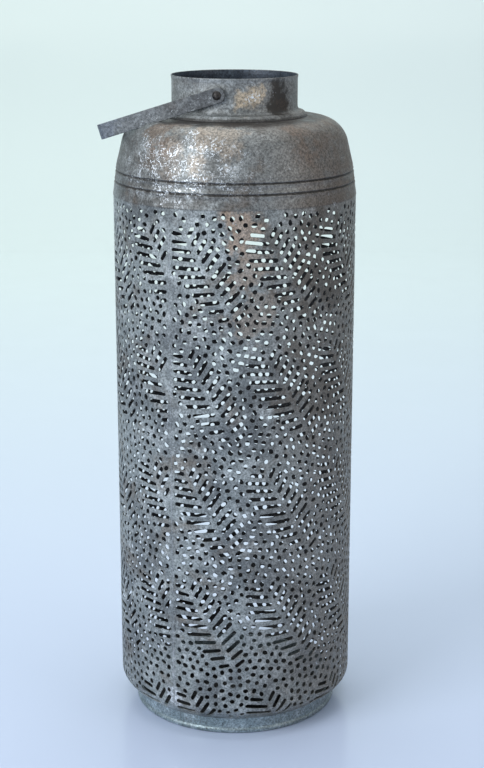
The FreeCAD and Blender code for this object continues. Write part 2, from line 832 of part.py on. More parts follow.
# ---------------------------------------------------------------------------
# Build, check and write
# ---------------------------------------------------------------------------
pieces = [
    make_foot(),
    make_floor(),
    make_tray(),
    make_socket(),
    make_body_shell(),
    make_seam(),
    make_dome(),
    make_collar(),
    make_pair("hinge_spacers", make_spacer),
    make_pair("hinge_rivets", make_rivet),
    make_bail(),
]
doc.recompute()

for feature in doc.Objects:
    if "Invalid" in feature.State or "Error" in feature.State:
        raise RuntimeError("%s failed: %s" % (feature.Name, feature.State))
for piece in pieces:
    if piece.Shape.isNull() or not piece.Shape.isValid():
        raise RuntimeError(piece.Label + " is not a valid shape")

os.makedirs("parts", exist_ok=True)
for piece in pieces:
    piece.Shape.exportStep(os.path.join("parts", piece.Label + ".step"))
    box = piece.Shape.BoundBox
    print("%-16s solids %d  volume %.1f  z %.2f..%.2f  x %.2f..%.2f" % (
        piece.Label, len(piece.Shape.Solids), piece.Shape.Volume,
        box.ZMin, box.ZMax, box.XMin, box.XMax))
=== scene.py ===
import json
import math
import random

import bpy
import numpy as np
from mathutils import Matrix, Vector, noise
from mathutils.geometry import delaunay_2d_cdt


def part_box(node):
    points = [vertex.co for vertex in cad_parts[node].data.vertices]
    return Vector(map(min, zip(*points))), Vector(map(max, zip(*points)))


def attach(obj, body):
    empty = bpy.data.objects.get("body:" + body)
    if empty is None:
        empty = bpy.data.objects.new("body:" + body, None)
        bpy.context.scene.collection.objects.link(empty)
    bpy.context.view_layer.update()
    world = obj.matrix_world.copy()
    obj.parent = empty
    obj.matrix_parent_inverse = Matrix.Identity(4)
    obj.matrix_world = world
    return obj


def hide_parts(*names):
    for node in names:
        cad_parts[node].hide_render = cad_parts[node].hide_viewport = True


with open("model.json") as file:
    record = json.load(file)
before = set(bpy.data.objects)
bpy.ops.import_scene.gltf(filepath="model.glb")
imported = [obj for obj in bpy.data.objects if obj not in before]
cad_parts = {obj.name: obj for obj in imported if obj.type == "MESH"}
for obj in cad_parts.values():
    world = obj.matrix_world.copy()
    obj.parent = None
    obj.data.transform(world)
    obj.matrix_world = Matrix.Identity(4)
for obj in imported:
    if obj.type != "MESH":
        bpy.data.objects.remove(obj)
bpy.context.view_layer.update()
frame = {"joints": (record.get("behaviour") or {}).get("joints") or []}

# Candle lantern of aged, pierced sheet metal.  The outlines below are in
# millimetres, like the frame's own sizes; MM turns them into scene metres.
MM = 0.001


# ---------------------------------------------------------------------------
# Sizes, read from the frame where the frame holds them
# ---------------------------------------------------------------------------
def node_size(node):
    """Largest radius, lowest and highest z of a round node, in millimetres."""
    low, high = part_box(node)
    return high.x / MM, low.z / MM, high.z / MM


_, _, FOOT_TOP = node_size("foot_ring")
LIP_RADIUS, BAND_BOTTOM, _ = node_size("shoulder_dome")
_, SKIRT_BOTTOM, NECK_TOP = node_size("neck_collar")
_, MOUTH_HEIGHT, TUCK_TOP = node_size("body_shell")
PIVOT_HEIGHT = frame["joints"][0]["pos_m"][2] / MM

BODY_RADIUS = 110.5
BODY_WALL = 0.8
GIRTH = 2 * math.pi * BODY_RADIUS
SEAM_AZIMUTH = math.radians(-90 - 16.15)
CORNER_ROUND = 12.0
CORNER_SLOPE = math.radians(37.7)
MOUTH_RADIUS = 95.2
TUCK_RADIUS = 108.9


def polar(radius, azimuth, height):
    """A point in scene metres from cylindrical millimetres."""
    return Vector((radius * math.cos(azimuth) * MM,
                   radius * math.sin(azimuth) * MM,
                   height * MM))


def add_mesh(name, verts, faces, body, smooth_angle=35.0):
    """Makes a smooth-shaded mesh piece that rides on a body."""
    mesh = bpy.data.meshes.new(name)
    mesh.from_pydata(verts, [], faces)
    mesh.validate()
    mesh.shade_smooth()
    mesh.set_sharp_from_angle(angle=math.radians(smooth_angle))
    piece = bpy.data.objects.new(name, mesh)
    bpy.context.scene.collection.objects.link(piece)
    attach(piece, body)
    return piece


# ---------------------------------------------------------------------------
# Pattern of the piercing: leaves of slots with round holes between them.
# All on the unrolled sheet: u runs round from the seam, z is the height.
# ---------------------------------------------------------------------------
REPEAT_WIDTH = 72.8
REPEAT_HEIGHT = 107.9
LEAF_START = 30.0
LEAF_HEIGHT = 442.5

# one leaf: its rib's run per height, and the slots on both sides of the rib
RIB_STEP = 0.581
RIB_WIDTH = 5.0
SLOT_PITCH = 7.17
SLOT_WIDTH = 3.7
SLOTS_PER_SIDE = 11
UPPER_SLOTS = 4
LEFT_SHORTEST, LEFT_GROWTH = 5.0, 22.0
LEFT_TILT, LEFT_TILT_GAIN = -8, 20
RIGHT_SHORTEST, RIGHT_GROWTH = 4.0, 16.5
RIGHT_TILT, RIGHT_TILT_LOSS = 64, 25
RIGHT_DROP = 2.0
SLOT_STEP = 5.5
SLOT_TAPER = 0.10
ROUGH_ALONG, ROUGH_ACROSS = 0.18, 0.14

# small holes: how they are thrown in, then pushed apart, and their size
DOT_TRIES = 9000
DOT_SPACING = 6.2
DOT_CLEARANCE = 5.3
PUSH_ROUNDS = 30
PUSH_LIMIT = 0.6
DOT_REACH, DOT_PUSH = 8.4, 0.12
SLOT_REACH, SLOT_PUSH = 5.6, 0.35
DOT_LONG_HALF = (2.2, 2.95)
DOT_SHORT_HALF = (1.95, 2.3)
DOT_CORNERS = 9
DOT_ROUGH = 0.12


def leaf_slots():
    """(u, z, length, angle) of one leaf's slots, from its rib's main point."""
    slots = []
    for index in range(SLOTS_PER_SIDE):
        share = index / (SLOTS_PER_SIDE - 1)
        rise = (UPPER_SLOTS - index) * SLOT_PITCH
        rib = -rise * RIB_STEP
        swell = math.sin(math.pi * (0.12 + 0.80 * share ** 0.72))
        length = LEFT_SHORTEST + LEFT_GROWTH * swell
        angle = math.radians(LEFT_TILT + LEFT_TILT_GAIN * share)
        slots.append((rib - length / 2 * math.cos(angle),
                      rise - length / 2 * math.sin(angle), length, angle))
        swell = math.sin(math.pi * (0.14 + 0.72 * share))
        length = RIGHT_SHORTEST + RIGHT_GROWTH * swell
        angle = math.radians(RIGHT_TILT - RIGHT_TILT_LOSS * share)
        slots.append((rib + RIB_WIDTH + length / 2 * math.cos(angle),
                      rise - RIGHT_DROP + length / 2 * math.sin(angle), length, angle))
    return slots


def capsule_distance(points, slot):
    """Offsets of each point from a slot's middle line, in the repeating tile."""
    u, z, length, angle = slot
    reach = length / 2 - SLOT_WIDTH / 2
    offset_u = (points[:, 0] - u + REPEAT_WIDTH / 2) % REPEAT_WIDTH - REPEAT_WIDTH / 2
    offset_z = (points[:, 1] - z + REPEAT_HEIGHT / 2) % REPEAT_HEIGHT - REPEAT_HEIGHT / 2
    along = offset_u * math.cos(angle) + offset_z * math.sin(angle)
    along = np.clip(along, -reach, reach)
    return (offset_u - along * math.cos(angle), offset_z - along * math.sin(angle))


def tile_offsets(points, origin):
    """Shortest offsets from one point to every other in the repeating tile."""
    u = (points[:, 0] - origin[0] + REPEAT_WIDTH / 2) % REPEAT_WIDTH - REPEAT_WIDTH / 2
    z = (points[:, 1] - origin[1] + REPEAT_HEIGHT / 2) % REPEAT_HEIGHT - REPEAT_HEIGHT / 2
    return u, z


def scatter_dots(slots, draw):
    """Centres of the round holes in one tile, evenly spread between slots."""
    dots = np.zeros((0, 2))
    for _ in range(DOT_TRIES):
        spot = np.array([[draw.uniform(0, REPEAT_WIDTH), draw.uniform(0, REPEAT_HEIGHT)]])
        if any(math.hypot(*(float(part[0]) for part in capsule_distance(spot, slot)))
               < DOT_CLEARANCE for slot in slots):
            continue
        if len(dots):
            u, z = tile_offsets(dots, spot[0])
            if (u * u + z * z).min() < DOT_SPACING ** 2:
                continue
        dots = np.vstack([dots, spot])
    for _ in range(PUSH_ROUNDS):
        push = np.zeros_like(dots)
        for index in range(len(dots)):
            u, z = tile_offsets(dots, dots[index])
            gap = np.hypot(u, z) + 1e-9
            near = (gap < DOT_REACH) & (gap > 1e-6)
            weight = (DOT_REACH - gap[near]) * DOT_PUSH / gap[near]
            push[index, 0] -= (u[near] * weight).sum()
            push[index, 1] -= (z[near] * weight).sum()
        for slot in slots:
            u, z = capsule_distance(dots, slot)
            gap = np.hypot(u, z) + 1e-9
            weight = np.clip(SLOT_REACH - gap, 0, None) * SLOT_PUSH / gap
            push[:, 0] += u * weight
            push[:, 1] += z * weight
        dots += np.clip(push, -PUSH_LIMIT, PUSH_LIMIT)
    return dots


def slot_outline(u, z, length, angle, draw):
    """Corner points of a slot with blunt, slightly uneven ends."""
    half = SLOT_WIDTH / 2
    run = length / 2 - half
    steps = max(1, int(run * 2 / SLOT_STEP))
    local = [(-run + 2 * run * i / steps, -half) for i in range(steps + 1)]
    local += [(run + half * 0.75, -half * 0.62), (run + half, half * 0.1),
              (run + half * 0.7, half * 0.7)]
    local += [(run - 2 * run * i / steps, half) for i in range(steps + 1)]
    local += [(-run - half * 0.75, half * 0.62), (-run - half, -half * 0.1),
              (-run - half * 0.7, -half * 0.7)]
    taper = draw.uniform(-SLOT_TAPER, SLOT_TAPER)
    points = []
    for x, y in local:
        y *= 1 + taper * x / (length / 2)
        x += draw.uniform(-ROUGH_ALONG, ROUGH_ALONG)
        y += draw.uniform(-ROUGH_ACROSS, ROUGH_ACROSS)
        points.append((u + x * math.cos(angle) - y * math.sin(angle),
                       z + x * math.sin(angle) + y * math.cos(angle)))
    return points


def dot_outline(u, z, draw):
    """Corner points of a small uneven hole, round to oval."""
    long_half = draw.uniform(*DOT_LONG_HALF)
    short_half = draw.uniform(*DOT_SHORT_HALF)
    angle = draw.uniform(0, math.pi)
    points = []
    for index in range(DOT_CORNERS):
        turn = 2 * math.pi * (index + draw.uniform(-DOT_ROUGH, DOT_ROUGH)) / DOT_CORNERS
        x = long_half * math.cos(turn)
        y = short_half * math.sin(turn)
        points.append((u + x * math.cos(angle) - y * math.sin(angle),
                       z + x * math.sin(angle) + y * math.cos(angle)))
    return points


# ---------------------------------------------------------------------------
# The sheet's upright outline, measured down the sheet from the band's edge
# ---------------------------------------------------------------------------
SHEET_TOP = BAND_BOTTOM - 0.2
CORNER_TURN = math.pi / 2 - CORNER_SLOPE
CORNER_RUN = CORNER_ROUND * math.tan(CORNER_TURN / 2)
CORNER_MEET = MOUTH_HEIGHT + (BODY_RADIUS - MOUTH_RADIUS) * math.tan(CORNER_SLOPE)
WALL_LENGTH = SHEET_TOP - (CORNER_MEET + CORNER_RUN)
CORNER_LENGTH = CORNER_ROUND * CORNER_TURN
SLOPE_LENGTH = (BODY_RADIUS - MOUTH_RADIUS) / math.cos(CORNER_SLOPE) - CORNER_RUN
SHEET_LENGTH = WALL_LENGTH + CORNER_LENGTH + SLOPE_LENGTH
STEP_LENGTH = 2.0
TUCK_LENGTH = TUCK_TOP - SHEET_TOP


def sheet_point(down):
    """Radius, height and outward lean of the sheet's outside."""
    if down < 0:
        share = min(1.0, -down / STEP_LENGTH)
        return BODY_RADIUS + (TUCK_RADIUS - BODY_RADIUS) * share, SHEET_TOP - down, 0.0
    if down <= WALL_LENGTH:
        return BODY_RADIUS, SHEET_TOP - down, 0.0
    turn = min((down - WALL_LENGTH) / CORNER_ROUND, CORNER_TURN)
    radius = BODY_RADIUS - CORNER_ROUND * (1 - math.cos(turn))
    height = SHEET_TOP - WALL_LENGTH - CORNER_ROUND * math.sin(turn)
    rest = max(0.0, down - WALL_LENGTH - CORNER_LENGTH)
    return (radius - rest * math.cos(CORNER_SLOPE),
            height - rest * math.sin(CORNER_SLOPE),
            turn)


def on_sheet(u, down, depth):
    """Scene point at u, down on the sheet, some depth under its outside."""
    radius, height, lean = sheet_point(down)
    azimuth = SEAM_AZIMUTH + u / BODY_RADIUS
    return polar(radius - depth * math.cos(lean), azimuth, height + depth * math.sin(lean))


def fill_runs(outline, longest):
    """Adds points along the outline's long straight runs."""
    filled = []
    for index, (x, y) in enumerate(outline):
        next_x, next_y = outline[(index + 1) % len(outline)]
        pieces = max(1, int(math.hypot(next_x - x, next_y - y) / longest + 0.99))
        for step in range(pieces):
            share = step / pieces
            filled.append((x + (next_x - x) * share, y + (next_y - y) * share))
    return filled


# ---------------------------------------------------------------------------
# Pierced shell: the holes' outlines, the sheet round them, and its panels
# ---------------------------------------------------------------------------
EDGE_MARGIN = 1.4
SEAM_MARGIN = 2.6
SEAM_EASE = 0.8
SEAM_GAP = 0.1
SLOT_DRIFT = 0.3
DOT_DRIFT = 0.35
LEAST_SLOT = 0.45
STUB_SLOT = 1.15
HOLE_GAP = 0.75
RIM_STEP = 1.0
RIM_CELL = 2
PANELS = 3


def hole_outlines():
    """Outlines (u, down) of every hole in the sheet."""
    slots = leaf_slots()
    dots = scatter_dots(slots, random.Random(7))
    lowest = SHEET_TOP - (SHEET_LENGTH - EDGE_MARGIN)
    columns = range(-1, int(GIRTH / REPEAT_WIDTH) + 2)
    rows = range(-1, int((LEAF_HEIGHT - lowest) / REPEAT_HEIGHT) + 3)
    outlines = []
    dots_between = []
    for column in columns:
        for row in rows:
            base_u = LEAF_START + column * REPEAT_WIDTH
            base_z = LEAF_HEIGHT - row * REPEAT_HEIGHT
            draw = random.Random(100 * (column + 5) + row + 5)
            for u, z, length, angle in slots:
                u += base_u + draw.uniform(-SLOT_DRIFT, SLOT_DRIFT)
                z += base_z + draw.uniform(-SLOT_DRIFT, SLOT_DRIFT)
                reach = length / 2 * math.cos(angle)
                start = max(u - reach, SEAM_MARGIN)
                end = min(u + reach, GIRTH - SEAM_MARGIN)
                if end - start < LEAST_SLOT * SLOT_WIDTH / math.cos(angle):
                    continue
                middle = (start + end) / 2
                z += (middle - u) * math.tan(angle)
                length = max((end - start) / math.cos(angle), SLOT_WIDTH * STUB_SLOT)
                outlines.append(slot_outline(middle, z, length, angle, draw))
            for u, z in dots:
                dots_between.append(dot_outline(
                    base_u + u + draw.uniform(-DOT_DRIFT, DOT_DRIFT),
                    base_z + z + draw.uniform(-DOT_DRIFT, DOT_DRIFT), draw))
    outlines += dots_between
    kept = []
    taken = {}
    for outline in outlines:
        us = [u for u, z in outline]
        downs = [SHEET_TOP - z for u, z in outline]
        if min(us) < SEAM_MARGIN - SEAM_EASE:
            continue
        if max(us) > GIRTH - SEAM_MARGIN + SEAM_EASE:
            continue
        if min(downs) < EDGE_MARGIN or max(downs) > SHEET_LENGTH - EDGE_MARGIN:
            continue
        loop = list(zip(us, downs))
        rim = fill_runs(loop, RIM_STEP)
        if touches(rim, taken):
            continue
        for u, down in rim:
            taken.setdefault(rim_cell(u, down), []).append((u, down))
        kept.append(loop)
    return kept


def rim_cell(u, down):
    """The square of the sheet that a rim point lies in."""
    return int(u // RIM_CELL), int(down // RIM_CELL)


def touches(rim, taken):
    """Whether a hole's rim comes too near to the rims that are already there."""
    for u, down in rim:
        cell = rim_cell(u, down)
        for i in (-1, 0, 1):
            for j in (-1, 0, 1):
                for a, b in taken.get((cell[0] + i, cell[1] + j), ()):
                    if math.hypot(u - a, down - b) < HOLE_GAP:
                        return True
    return False


def border_points(holes):
    """The sheet's own border, and spare points where the sheet is plain."""
    left, right = SEAM_GAP, GIRTH - SEAM_GAP
    across = int(GIRTH / 4.0)
    levels = (-TUCK_LENGTH, -STEP_LENGTH, 0.0, SHEET_LENGTH)
    lines = []
    for level in levels:
        lines.append([(left + (right - left) * i / across, level)
                      for i in range(across + 1)])
    uprights = int(SHEET_LENGTH / 4.0)
    for panel in range(1, PANELS):
        lines.append([(GIRTH * panel / PANELS, -TUCK_LENGTH),
                      (GIRTH * panel / PANELS, SHEET_LENGTH)])
    for u in (left, right):
        lines.append([(u, SHEET_LENGTH * i / uprights) for i in range(uprights + 1)])
        lines.append([(u, -TUCK_LENGTH), (u, -STEP_LENGTH), (u, 0.0)])
    middles = {}
    for outline in holes:
        for u, down in outline:
            middles.setdefault((int(u // 4), int(down // 4)), []).append((u, down))
    spare = []
    for row in range(int(SHEET_LENGTH / 3.0)):
        for column in range(int(GIRTH / 3.6)):
            u = (column + 0.5 * (row % 2) + 0.5) * 3.6
            down = (row + 0.5) * 3.0
            if u > right - 1.0:
                continue
            cell = (int(u // 4), int(down // 4))
            near = [point for i in (-1, 0, 1) for j in (-1, 0, 1)
                    for point in middles.get((cell[0] + i, cell[1] + j), ())]
            if all(math.hypot(u - a, down - b) > 1.7 for a, b in near):
                spare.append((u, down))
    return lines, spare


def inside(outline, u, down):
    """Whether a point lies inside a closed outline."""
    crossings = False
    previous = outline[-1]
    for current in outline:
        if (current[1] > down) != (previous[1] > down):
            cut = previous[0] + ((down - previous[1]) * (current[0] - previous[0])
                                 / (current[1] - previous[1]))
            if u < cut:
                crossings = not crossings
        previous = current
    return crossings


def sheet_triangles(holes):
    """Triangulates the sheet round its holes: points and triangles."""
    lines, spare = border_points(holes)
    cells = {}
    for number, outline in enumerate(holes):
        us = [u for u, down in outline]
        downs = [down for u, down in outline]
        for i in range(int(min(us) // 6), int(max(us) // 6) + 1):
            for j in range(int(min(downs) // 6), int(max(downs) // 6) + 1):
                cells.setdefault((i, j), []).append(number)

    def in_a_hole(u, down):
        return any(inside(holes[number], u, down)
                   for number in cells.get((int(u // 6), int(down // 6)), ()))

    points = []
    edges = []
    for line in lines:
        start = len(points)
        points += line
        edges += [(start + i, start + i + 1) for i in range(len(line) - 1)]
    for outline in holes:
        start = len(points)
        points += outline
        count = len(outline)
        edges += [(start + i, start + (i + 1) % count) for i in range(count)]
    points += [spot for spot in spare if not in_a_hole(*spot)]
    flat = [Vector(point) for point in points]
    made, _, faces, _, _, _ = delaunay_2d_cdt(flat, edges, [], 0, 1e-4, True)
    kept = []
    for face in faces:
        u = sum(made[i].x for i in face) / 3
        down = sum(made[i].y for i in face) / 3
        if not in_a_hole(u, down):
            kept.append(tuple(face))
    return [(point.x, point.y) for point in made], kept


def make_pierced_shell():
    """The pierced body, as closed panels that meet point to point."""
    holes = hole_outlines()
    points, triangles = sheet_triangles(holes)
    panels = [[] for _ in range(PANELS)]
    for triangle in triangles:
        middle = sum(points[i][0] for i in triangle) / 3
        panels[min(PANELS - 1, int(middle / GIRTH * PANELS))].append(triangle)
    pieces = []
    for number, members in enumerate(panels):
        used = sorted(set(i for triangle in members for i in triangle))
        place = {i: k for k, i in enumerate(used)}
        count = len(used)
        verts = [on_sheet(*points[i], 0.0) for i in used]
        verts += [on_sheet(*points[i], BODY_WALL) for i in used]
        edge_faces = {}
        faces = []
        for a, b, c in members:
            first, second, third = place[a], place[b], place[c]
            (ua, da), (ub, db), (uc, dc) = points[a], points[b], points[c]
            turn = (ub - ua) * (dc - da) - (uc - ua) * (db - da)
            if turn > 0:
                second, third = third, second
            faces.append((first, second, third))
            faces.append((first + count, third + count, second + count))
            for edge in ((first, second), (second, third), (third, first)):
                edge_faces[edge] = edge_faces.get(edge, 0) + 1
        for first, second in edge_faces:
            if (second, first) not in edge_faces:
                faces.append((second, first, first + count, second + count))
        piece = add_mesh("pierced_shell_%d" % (number + 1), verts, faces, "lantern")
        for face in piece.data.polygons:
            if all(index >= count for index in face.vertices):
                face.material_index = 1
        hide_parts("body_shell")
        pieces.append(piece)
    return pieces


shell_panels = make_pierced_shell()


# ---------------------------------------------------------------------------
# Round pieces turned from an outline of (radius, height, corner radius)
# ---------------------------------------------------------------------------
def rounded_outline(corners, steps=5):
    """Closed outline of (radius, height) with each corner rounded."""
    outline = []
    count = len(corners)
    for index, (x, y, round_radius) in enumerate(corners):
        here = Vector((x, y))
        before = Vector(corners[index - 1][:2]) - here
        after = Vector(corners[(index + 1) % count][:2]) - here
        if round_radius <= 0:
            outline.append((x, y))
            continue
        half = before.angle(after) / 2
        run = min(round_radius / math.tan(half), 0.49 * before.length, 0.49 * after.length)
        radius = run * math.tan(half)
        middle = here + (before.normalized() + after.normalized()).normalized() * (
            radius / math.sin(half))
        start = here + before.normalized() * run - middle
        end = here + after.normalized() * run - middle
        turn = math.atan2(start.x * end.y - start.y * end.x, start.dot(end))
        pieces = max(steps, int(abs(turn) * radius / 1.6))
        for step in range(pieces + 1):
            angle = turn * step / pieces
            outline.append((
                middle.x + start.x * math.cos(angle) - start.y * math.sin(angle),
                middle.y + start.x * math.sin(angle) + start.y * math.cos(angle)))
    return outline


def unevenness(azimuth, height, amount, seed):
    """Slow dents of spun and beaten sheet, in millimetres, never outward."""
    spot = Vector((math.cos(azimuth) * 2.1, math.sin(azimuth) * 2.1, height / 42.0))
    wave = noise.noise(spot + Vector((seed, 0.0, 0.0)))
    small = noise.noise(spot * 3.1 + Vector((0.0, seed, 0.0)))
    return -amount * (0.5 + 0.35 * wave + 0.25 * small)


def turned_piece(name, outline, replaced, material, dents=0.0, seed=1.0,
                 segments=200):
    """A closed ring-shaped piece, turned from its outline."""
    verts = []
    faces = []
    count = len(outline)
    for step in range(segments):
        azimuth = 2 * math.pi * step / segments
        for radius, height in outline:
            push = unevenness(azimuth, height, dents, seed) if dents else 0.0
            verts.append(polar(radius + push, azimuth, height))
        first = step * count
        second = ((step + 1) % segments) * count
        for index in range(count):
            following = (index + 1) % count
            faces.append((first + index, second + index,
                          second + following, first + following))
    area = sum(outline[i - 1][0] * outline[i][1] - outline[i][0] * outline[i - 1][1]
               for i in range(count))
    if area < 0:
        faces = [tuple(reversed(face)) for face in faces]
    piece = add_mesh(name, verts, faces, "lantern", smooth_angle=50.0)
    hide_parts(replaced)
    piece.data.materials.append(material)
    return piece


BAND_LOW_RADIUS = 111.0
BAND_TOP_RADIUS = 107.6
BAND_LOW = 493.3
BAND_TOP = 519.0
BAND_LEAN = (BAND_LOW_RADIUS - BAND_TOP_RADIUS) / (BAND_TOP - BAND_LOW)
DOME_WALL = 0.8
GROOVE_HEIGHTS = (506.3, 515.7)
GROOVE_REACH = 2.6
GROOVE_CREST = 1.4
CREST_RISE = 0.40
GROOVE_DEPTH = 1.15


def band_radius(height):
    """Outer radius of the dome's band at a height."""
    return BAND_LOW_RADIUS - (height - BAND_LOW) * BAND_LEAN


def make_dome(material):
    wall = DOME_WALL
    grooves = []
    for middle in GROOVE_HEIGHTS:
        low_crest, high_crest = middle - GROOVE_CREST, middle + GROOVE_CREST
        grooves += [
            (band_radius(middle - GROOVE_REACH), middle - GROOVE_REACH, 0.0),
            (band_radius(low_crest) + CREST_RISE, low_crest, 0.7),
            (band_radius(middle) - GROOVE_DEPTH, middle, 0.35),
            (band_radius(high_crest) + CREST_RISE, high_crest, 0.7),
            (band_radius(middle + GROOVE_REACH), middle + GROOVE_REACH, 0.0),
        ]
    outline = rounded_outline(
        [(LIP_RADIUS, BAND_BOTTOM, 0.38), (LIP_RADIUS - 0.1, BAND_BOTTOM + 1.2, 0.4)]
        + grooves
        + [
            (BAND_TOP_RADIUS, BAND_TOP + 1.5, 30.0),
            (97.7, 560.9, 38.0),
            (57.6, 564.2, 0.3),
            (57.6, 563.4, 0.3),
            (97.7 - wall, 560.9 - wall, 37.2),
            (BAND_TOP_RADIUS - wall - 0.2, BAND_TOP, 30.0),
            (LIP_RADIUS - wall, BAND_BOTTOM, 0.38),
        ])
    return turned_piece("turned_dome", fill_runs(outline, 4.0), "shoulder_dome",
                        material, dents=0.45, seed=4.0)


def make_neck(material):
    outline = rounded_outline([
        (57.5, NECK_TOP, 0.38),
        (56.9, 596.0, 6.0),
        (56.9, 569.4, 6.4),
        (62.8, 567.8, 1.8),
        (66.0, SKIRT_BOTTOM, 0.3),
        (65.2, SKIRT_BOTTOM, 0.3),
        (62.4, 567.0, 1.2),
        (56.1, 568.6, 6.6),
        (56.1, 596.0, 6.0),
        (56.7, NECK_TOP, 0.38),
    ])
    return turned_piece("turned_neck", fill_runs(outline, 3.0), "neck_collar",
                        material, dents=0.18, seed=9.0)


def make_foot(material):
    outline = rounded_outline([
        (93.8, 0.0, 0.3),
        (95.2, 0.0, 0.9),
        (96.2, 1.2, 0.9),
        (96.2, 3.4, 1.0),
        (95.0, 5.0, 1.6),
        (95.0, FOOT_TOP, 0.3),
        (93.8, FOOT_TOP, 0.3),
    ])
    return turned_piece("turned_foot", fill_runs(outline, 3.0), "foot_ring",
                        material, dents=0.12, seed=2.0)


# ---------------------------------------------------------------------------
# Solder run over the seam: a low ridge with lumps and drops
# ---------------------------------------------------------------------------
BEADED_BELOW = 150
SEAM_ROW = 0.9
SEAM_CORNERS = 8


def make_seam(material):
    low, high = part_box("seam_solder")
    bottom, top = low.z / MM + 0.3, high.z / MM - 0.3
    draw = random.Random(31)
    lumps = []
    height = bottom
    while height < top:
        busy = 1.0 if height < BEADED_BELOW else 0.28
        lumps.append((height, draw.uniform(0.8, 2.6), draw.uniform(0.2, 1.0) * busy,
                      draw.uniform(-0.7, 0.7)))
        height += draw.uniform(1.6, 5.0)
    rows = int((top - bottom) / SEAM_ROW)
    around = SEAM_CORNERS
    verts = []
    faces = []
    for row in range(rows + 1):
        height = bottom + (top - bottom) * row / rows
        swell = shift = 0.0
        for middle, reach, rise, side in lumps:
            part = max(0.0, 1 - ((height - middle) / reach) ** 2)
            swell = max(swell, part * rise)
            shift += part * side * 0.4
        half = 0.5 + 1.35 * swell
        rise = 0.10 + 0.46 * swell
        if row in (0, rows):
            half, rise = 0.3, 0.05
        for index in range(around):
            angle = math.pi * index / (around - 1)
            along = shift + half * math.cos(angle)
            out = BODY_RADIUS + 0.03 + rise * math.sin(angle)
            verts.append(polar(out, SEAM_AZIMUTH + along / BODY_RADIUS, height))
        if row:
            first, second = (row - 1) * around, row * around
            for index in range(around):
                following = (index + 1) % around
                faces.append((first + index, second + index,
                              second + following, first + following))
    faces.append(tuple(range(around)))
    faces.append(tuple(rows * around + index for index in reversed(range(around))))
    piece = add_mesh("solder_run", verts, faces, "lantern", smooth_angle=70.0)
    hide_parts("seam_solder")
    piece.data.materials.append(material)
    return piece


# ---------------------------------------------------------------------------
# Bail: one strap bent to a U, its two ends round about the rivets
# ---------------------------------------------------------------------------
STRAP_HALF_WIDTH = 6.75
STRAP_HALF_THICK = 1.0
STRAP_REACH = 115.3
ARM_SPREAD = 60.0
BEND_RADIUS = 6.0
EYE_RADIUS = 7.2
EYE_HOLE = 2.62
STRAP_TILT = math.radians(17.767)
ARM_RUN = STRAP_REACH - STRAP_HALF_THICK - BEND_RADIUS
BEND_RUN = BEND_RADIUS * math.pi / 2
CROSS_RUN = 2 * (ARM_SPREAD - BEND_RADIUS)
STRAP_RUN = 2 * (ARM_RUN + BEND_RUN) + CROSS_RUN


def strap_place(run, across, out):
    """Scene point on the strap: along it, across its width, out from its middle."""
    if run > STRAP_RUN / 2:
        mirrored = strap_place(STRAP_RUN - run, across, out)
        return Vector((mirrored.x, -mirrored.y, mirrored.z))
    if run <= ARM_RUN:
        x, y, normal = -run, -ARM_SPREAD, (0.0, -1.0)
    elif run <= ARM_RUN + BEND_RUN:
        turn = (run - ARM_RUN) / BEND_RADIUS
        normal = (-math.sin(turn), -math.cos(turn))
        x = -ARM_RUN + BEND_RADIUS * normal[0]
        y = -ARM_SPREAD + BEND_RADIUS + BEND_RADIUS * normal[1]
    else:
        x = -ARM_RUN - BEND_RADIUS
        y = -ARM_SPREAD + BEND_RADIUS + run - ARM_RUN - BEND_RUN
        normal = (-1.0, 0.0)
    x += normal[0] * out
    y += normal[1] * out
    return Vector(((x * math.cos(STRAP_TILT) - across * math.sin(STRAP_TILT)) * MM,
                   y * MM,
                   (PIVOT_HEIGHT + x * math.sin(STRAP_TILT)
                    + across * math.cos(STRAP_TILT)) * MM))


